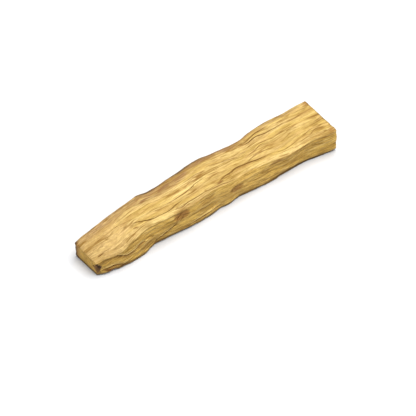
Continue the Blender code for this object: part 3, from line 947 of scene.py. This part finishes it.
def follow_lines(grain):
    """Lays some rows of the top and the front along the checks and ledges, so that they are cut cleanly."""
    across, up = BLANK_WIDTH / 2, BLANK_HEIGHT
    on_top = np.isclose(grain[:, 2], up)
    on_front = np.isclose(grain[:, 1], -across)
    top_ends = (EASED_EDGE - across, across - EASED_EDGE)
    slide_rows(grain, on_top, 1, top_ends, TOP_STEPS, TOP_ROWS, top_row_at)
    slide_rows(grain, on_front, 2, (EASED_EDGE, up - EASED_EDGE), SIDE_STEPS, FRONT_ROWS, front_row_at)


def outward_of(points, faces, end):
    """The way out of the stick at each point, square to its length on the sides and along it on the ends."""
    mesh = bpy.data.meshes.new("normals")
    mesh.from_pydata(points.tolist(), [], faces.tolist())
    outward = np.empty(len(points) * 3, np.float32)
    mesh.vertex_normals.foreach_get("vector", outward)
    bpy.data.meshes.remove(mesh)
    outward = outward.reshape(-1, 3).astype(float)
    outward[:, 0] = 0.0
    outward[end != 0] = 0.0
    outward[end != 0, 0] = end[end != 0]
    return outward / np.linalg.norm(outward, axis=1)[:, None]


def torn_front(x, z, on_front):
    """The depth of the front's ledges and flake scars, how brown they are, partly as painted shade, and the
    painted highlight along the top edge of each ledge.
    """
    depth, brown, painted_lip_highlight = np.zeros(len(x)), np.zeros(len(x)), np.zeros(len(x))
    for line, slope, deepest, dark in FRONT_LEDGES:
        below = along(line, x)[:, 0] - z
        here = on_front * reach_along(line, x)
        torn = here * np.where(below > 0, np.exp(-((below / slope) ** 2)), ease(below, -0.3, 0.0))
        depth = np.maximum(depth, deepest * torn)
        brown = np.maximum(brown, dark * torn)
        above = (below + LIP_ABOVE) / LIP_WIDTH
        painted_lip_highlight = np.maximum(painted_lip_highlight, here * deepest / LIP_FULL * np.exp(-(above**2)))
    for middle, height, half_length, half_height, deepest, dark in FLAKE_SCARS:
        away = ((x - middle) / half_length) ** 2 + ((z - height) / half_height) ** 2
        depth += on_front * deepest * np.maximum(0.0, 1 - away)
        brown = np.maximum(brown, on_front * dark * ease(away, 1.6, 0.2))
    return depth, brown, np.minimum(painted_lip_highlight, 1.0)


def ridge_wear(grain, deepest):
    """How far the ridge between the top and the front has worn back."""
    wear = along(RIDGE_WEAR, grain[:, 0])[:, 0]
    reach = WEAR_REACH[0] + WEAR_REACH[1] * wear
    worn = deepest * wear
    back, down = grain[:, 1] + BLANK_WIDTH / 2, BLANK_HEIGHT - grain[:, 2]
    for away, (far, steepness) in ((back, WEAR_OVER_TOP), (down, WEAR_DOWN_FRONT)):
        worn *= np.clip(1 - away / (far * reach), 0, 1) ** steepness
    return worn


def split_relief(grain, shape):
    """The depth of the split surface below the blank's own: what the solid has too, and what is finer."""
    depth = sum(deep * streaks(grain, *run) for deep, *run in SOLID_RELIEF)
    fibres = sum(share * streaks(grain, *run) for share, *run in FIBRE_RUNS)
    steps = sum(share * ease(streaks(grain, *run), -soft, soft) for share, soft, *run in TORN_STEPS)
    lines = ease(np.abs(streaks(grain, *RUNS["creases"])), 0.12, 0)
    creases = lines * ease(streaks(grain, *RUNS["creased_wood"]), -0.05, 0.25)
    fine = shape.fibre_relief * fibres + shape.ledge_step * steps + shape.crease_depth * creases
    return depth, fine / MM


def into_hollow(place):
    """Moves the points inside the broken corner's hollow back onto its wall, and says which ones moved."""
    cosine, sine = math.cos(HOLLOW_TURN), math.sin(HOLLOW_TURN)
    turn = np.array(((cosine, sine, 0), (-sine, cosine, 0), (0, 0, 1)))
    way = np.array(HOLLOW_INWARDS)
    start = (place - HOLLOW_CENTRE) @ turn.T / HOLLOW_HALF
    step = turn @ way / HOLLOW_HALF
    wall = 1 + HOLLOW_ROUGHNESS * streaks(place, *RUNS["hollow_wall"])
    a, b, c = step @ step, start @ step, (start**2).sum(axis=1) - wall**2
    run = np.where(c < 0, (-b + np.sqrt(np.maximum(b * b - a * c, 0))) / a, 0.0)
    return place + run[:, None] * way, ease(run, 0.0, 0.25)


def heartwood_amount(grain, place, outward):
    """How brown the wood is: along its back and in a few streaks."""
    x, y = place[:, 0], place[:, 1]
    on_top = ease(outward[:, 2], 0.3, 0.7)
    edge, amount = along(HEARTWOOD_EDGE, x).T
    over_top = amount * ease(y - edge, -HEARTWOOD_FADE, HEARTWOOD_FADE)
    on_back = ease(outward[:, 1], 0.4, 0.8) * ease(streaks(grain, *RUNS["brown_back"]), -0.5, 0.3)
    strays = ease(streaks(grain, *RUNS["brown_strays"]), 0.35, 0.6)
    streaked = np.zeros(len(x))
    for line, reach, dark in TOP_STREAKS:
        away = (y - along(line, x)[:, 0]) / reach
        streaked = np.maximum(streaked, on_top * dark * reach_along(line, x) * np.exp(-(away**2)))
    return np.maximum.reduce((over_top, BROWN_BACK * on_back, BROWN_STRAYS * strays, streaked))


def end_stains(place, outward):
    """The rust-coloured line across the near end and along its rim, and the far corners of the top."""
    x, y, z = place.T
    on_end = (x < 0) * ease(np.abs(outward[:, 0]), 0.5, 0.9)
    line = on_end * np.exp(-(((y - END_STAIN) / END_STAIN_WIDTH) ** 2))
    inwards = np.exp(-(((x + LENGTH / 2) / RIM_STAIN_REACH) ** 2))
    rim = inwards * ease(y, *RIM_STAIN) * ease(outward[:, 2], -0.2, 0.4)
    line_share, rim_share, corner_share = STAIN_SHARES
    stained = np.maximum(line_share * line, rim_share * rim)
    for corner_x, corner_y in CORNER_STAINS:
        near = np.exp(-((x - corner_x) ** 2 + (y - corner_y) ** 2) / CORNER_STAIN_SPREAD)
        stained = np.maximum(stained, corner_share * near * ease(z, 5.5, 8.5))
    return stained


def painted_rim_shade(grain, x):
    """How much painted shade the rims get: the back and far edges of the top, and the back edge of the near
    end.
    """
    back, top = BLANK_WIDTH / 2 - grain[:, 1], BLANK_HEIGHT - grain[:, 2]
    on_top = ease(top, 1.2, 0.8)
    edge = ease(back, PAINTED_EDGE_SHADE_WIDTH + 0.2, PAINTED_EDGE_SHADE_WIDTH - 0.3) * on_top * along(PAINTED_EDGE_SHADE, x)[:, 0]
    near = ease(back, 1.6, 0.7) * ease(grain[:, 0], 0.8 - LENGTH / 2, 0.3 - LENGTH / 2)
    far = 0.6 * on_top * ease(grain[:, 0], LENGTH / 2 - 0.9, LENGTH / 2 - 0.3)
    return np.maximum.reduce((edge, near, far))


def new_mesh(name, points, faces):
    mesh = bpy.data.meshes.new(name)
    mesh.from_pydata((points * MM).tolist(), [], faces.tolist())
    mesh.validate()
    mesh.shade_smooth()
    return mesh


def write_attribute(mesh, name, values):
    kind, field = ("FLOAT_VECTOR", "vector") if values.ndim == 2 else ("FLOAT", "value")
    attribute = mesh.attributes.new(name, kind, "POINT")
    attribute.data.foreach_set(field, values.astype(np.float32).ravel())


def base_tuck(place, outward):
    """How far the foot of each side draws in above the surface that the stick lies on."""
    low = np.clip(1 - place[:, 2] / BASE_TUCK_HEIGHT, 0, 1) ** 2
    return BASE_TUCK * low * ease(outward[:, 2], 0.2, -0.4)


def grain_way(moved, end):
    """The way that the grain runs at each point, from the points before and after it along the stick."""
    ways = np.tile((1.0, 0.0, 0.0), (len(moved), 1))
    around = end == 0
    rings = moved[around].reshape(STATIONS + 1, -1, 3)
    steps = np.gradient(rings, axis=0).reshape(-1, 3)
    ways[around] = steps / np.linalg.norm(steps, axis=1)[:, None]
    return ways


def split_stick_mesh(shape):
    """The whole stick as one closed mesh, with the attributes that its material reads."""
    grain, faces, end = straight_blank()
    follow_lines(grain)
    place = bend_to_grain(grain)
    low, high = (np.array(corner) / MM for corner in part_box("stick"))
    outward = outward_of(place, faces, end)
    x, y, z = place.T
    on_top, on_front = ease(outward[:, 2], 0.0, 0.3), ease(-outward[:, 1], 0.3, 0.7)
    underside = ease(-outward[:, 2], 0.6, 0.9)
    strays = stray(grain[:, 0])
    top = Cracks(TOP_CRACKS, x, y - strays, on_top)
    front = Cracks(FRONT_CRACKS, x, z - strays, on_front)
    torn, brown, painted_lip_highlight = torn_front(x, z - strays, on_front)
    depth, fine = split_relief(grain, shape)
    depth = np.where(underside > 0.5, np.maximum(0.0, depth - UNDERSIDE_EVEN), depth)
    depth += fine * (1 - UNDERSIDE_LESS * underside) * (1 + FRONT_MORE * on_front) + torn
    depth += top.depth + front.depth + ridge_wear(grain, shape.ridge_wear / MM)
    depth = np.where(end != 0, END_RELIEF * streaks(grain, *RUNS["sawn_ends"]), depth)
    moved = place - outward * depth[:, None]
    moved[:, 1] -= np.sign(outward[:, 1]) * base_tuck(place, outward) * (np.abs(outward[:, 1]) > 0.1)
    moved[:, 1] += (low[1] + high[1]) / 2 - (moved[:, 1].min() + moved[:, 1].max()) / 2
    moved[:, 2] = np.maximum(moved[:, 2], low[2])
    moved, hollow = into_hollow(moved)
    # Painted shade in the hollow is strongest at its core
    core = ease(np.linalg.norm(moved - HOLLOW_CORE, axis=1), *HOLLOW_CORE_REACH)
    hollow *= HOLLOW_REST_SHARE + (1 - HOLLOW_REST_SHARE) * core
    mesh = new_mesh("split_stick", moved, faces)
    sides = 1 - ease(outward[:, 2], 0.3, 0.8)
    seen = np.maximum(top.darkness, front.darkness)
    clear = ease(seen.max(axis=0), 0.05, 0.0)
    torn_amount = clear * np.maximum(TORN_LEDGES * brown, TORN_ELSEWHERE * (1 - underside))
    attributes = {
        "torn": torn_amount * ease(np.abs(x), *TORN_WITHIN),
        "grain_way": grain_way(moved, end),
        "grain": grain,
        "hollow": hollow,
        "painted_lip_highlight": painted_lip_highlight,
        # Fine relief depth, laid as painted shade in its lows
        "relief": fine / (shape.ledge_step / MM * 2),
        "heartwood": heartwood_amount(grain, place, outward),
        "rust": np.maximum(brown, end_stains(place, outward)),
        "side": sides,
        "rim": painted_rim_shade(grain, x),
        # Where painted contact shadow darkens the sides near the floor
        "foot": sides * ease(z, 1.5, 0.6),
        "sawn": ease(np.abs(outward[:, 0]), 0.4, 0.8),
    }
    crack_place = np.where(top.darkness > front.darkness, top.place, front.place)
    for k in range(CRACK_LAYERS):
        attributes[f"crack_place_{k}"] = crack_place[k]
        attributes[f"crack_dark_{k}"] = seen[k]
    for name, values in attributes.items():
        write_attribute(mesh, name, values)
    return mesh


def show(name, data):
    made = bpy.data.objects.new(name, data)
    bpy.context.scene.collection.objects.link(made)
    return made


class STICK_OT_camera(bpy.types.Operator):
    """Sets the camera at the photograph's viewing angle"""

    bl_idname = "stick.camera"
    bl_label = "Set camera"

    def execute(self, context):
        studio = context.scene.stick_studio
        turn, rise = studio.azimuth, studio.elevation
        back = Vector((math.sin(turn) * math.cos(rise), -math.cos(turn) * math.cos(rise), math.sin(rise)))
        data = bpy.data.cameras.new("camera")
        data.lens = studio.lens
        data.clip_start, data.clip_end = CAMERA_CLIP
        camera = show("camera", data)
        camera.location = Vector(studio.aim) + back * studio.distance
        camera.rotation_euler = back.to_track_quat("Z", "Y").to_euler()
        context.scene.camera = camera
        return {"FINISHED"}


class STICK_OT_studio(bpy.types.Operator):
    """Lays a plain pale floor and hangs soft light over it"""

    bl_idname = "stick.studio"
    bl_label = "Set studio"

    def execute(self, context):
        studio = context.scene.stick_studio
        self.lay_floor(studio)
        self.hang_light(studio)
        world = bpy.data.worlds.new("studio")
        world.use_nodes = True
        background = world.node_tree.nodes["Background"]
        background.inputs["Color"].default_value = SKY_COLOUR
        background.inputs["Strength"].default_value = studio.fill_strength
        context.scene.world = world
        context.scene.view_settings.view_transform = "Standard"
        return {"FINISHED"}

    def lay_floor(self, studio):
        mesh = bpy.data.meshes.new("floor")
        corners = [(x * FLOOR_HALF, y * FLOOR_HALF, 0) for x, y in ((-1, -1), (1, -1), (1, 1), (-1, 1))]
        mesh.from_pydata(corners, [], [(0, 1, 2, 3)])
        material, tree = new_material("floor")
        finish_material(tree, Base_Color=opaque(studio.floor_colour), Roughness=0.9, Specular_IOR_Level=0.1)
        mesh.materials.append(material)
        show("floor", mesh)

    def hang_light(self, studio):
        data = bpy.data.lights.new("key", "AREA")
        data.shape = "SQUARE"
        data.size = studio.key_size
        data.energy = studio.key_power
        light = show("key", data)
        light.location = Vector(studio.key_direction).normalized() * studio.key_distance
        light.rotation_euler = Vector(light.location).to_track_quat("Z", "Y").to_euler()


class STICK_OT_wood(bpy.types.Operator):
    """Makes the split stick with its relief, drying checks and torn ledges"""

    bl_idname = "stick.wood"
    bl_label = "Make stick"

    def execute(self, context):
        mesh = split_stick_mesh(context.scene.stick_shape)
        mesh.materials.append(wood_material(context.scene.stick_colours))
        piece = show("split_stick", mesh)
        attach(piece, "root")
        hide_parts("stick")
        return {"FINISHED"}


class STICK_OT_fibres(bpy.types.Operator):
    """Lays torn fibres on the stick's ledges and split faces"""

    bl_idname = "stick.fibres"
    bl_label = "Make torn fibres"

    def execute(self, context):
        stick = bpy.data.objects["split_stick"]
        settings = context.scene.stick_fibres
        group = bpy.data.node_groups.new("torn_fibres", "GeometryNodeTree")
        keys = fibre_tree(group)
        piece = show("torn_fibres", stick.data.copy())
        modifier = piece.modifiers.new("torn_fibres", "NODES")
        modifier.node_group = group
        for name in ("density", "length", "width", "thickness", "lift", "seed"):
            modifier[keys[name.capitalize()]] = getattr(settings, name)
        modifier[keys["Material"]] = stick.data.materials[0]
        evaluated = piece.evaluated_get(context.evaluated_depsgraph_get())
        mesh = bpy.data.meshes.new_from_object(evaluated)
        piece.modifiers.remove(modifier)
        mesh.materials.clear()
        mesh.materials.append(stick.data.materials[0])
        mesh.polygons.foreach_set("material_index", [0] * len(mesh.polygons))
        piece.data = mesh
        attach(piece, "root")
        return {"FINISHED"}


class STICK_PT_panel(bpy.types.Panel):
    """Lists what the stick is made of"""

    bl_idname = "STICK_PT_panel"
    bl_label = "Palo Santo Stick"
    bl_space_type = "VIEW_3D"
    bl_region_type = "UI"
    bl_category = "Stick"

    def draw(self, context):
        for name in SETTINGS:
            group = getattr(context.scene, name)
            box = self.layout.box()
            for field in group.__annotations__:
                box.prop(group, field)
        for operator in OPERATORS:
            self.layout.operator(operator.bl_idname)


SETTINGS = {
    "stick_shape": StickShape,
    "stick_colours": WoodColours,
    "stick_fibres": TornFibres,
    "stick_studio": StudioSettings,
}
OPERATORS = (STICK_OT_camera, STICK_OT_studio, STICK_OT_wood, STICK_OT_fibres)
CLASSES = (*SETTINGS.values(), *OPERATORS, STICK_PT_panel)


def register():
    for cls in CLASSES:
        bpy.utils.register_class(cls)
    for name, settings in SETTINGS.items():
        setattr(bpy.types.Scene, name, PointerProperty(type=settings))


def unregister():
    for name in SETTINGS:
        delattr(bpy.types.Scene, name)
    for cls in reversed(CLASSES):
        bpy.utils.unregister_class(cls)


def main():
    register()
    bpy.ops.stick.camera()
    bpy.ops.stick.studio()
    bpy.ops.stick.wood()
    bpy.ops.stick.fibres()


if __name__ == "__main__":
    main()
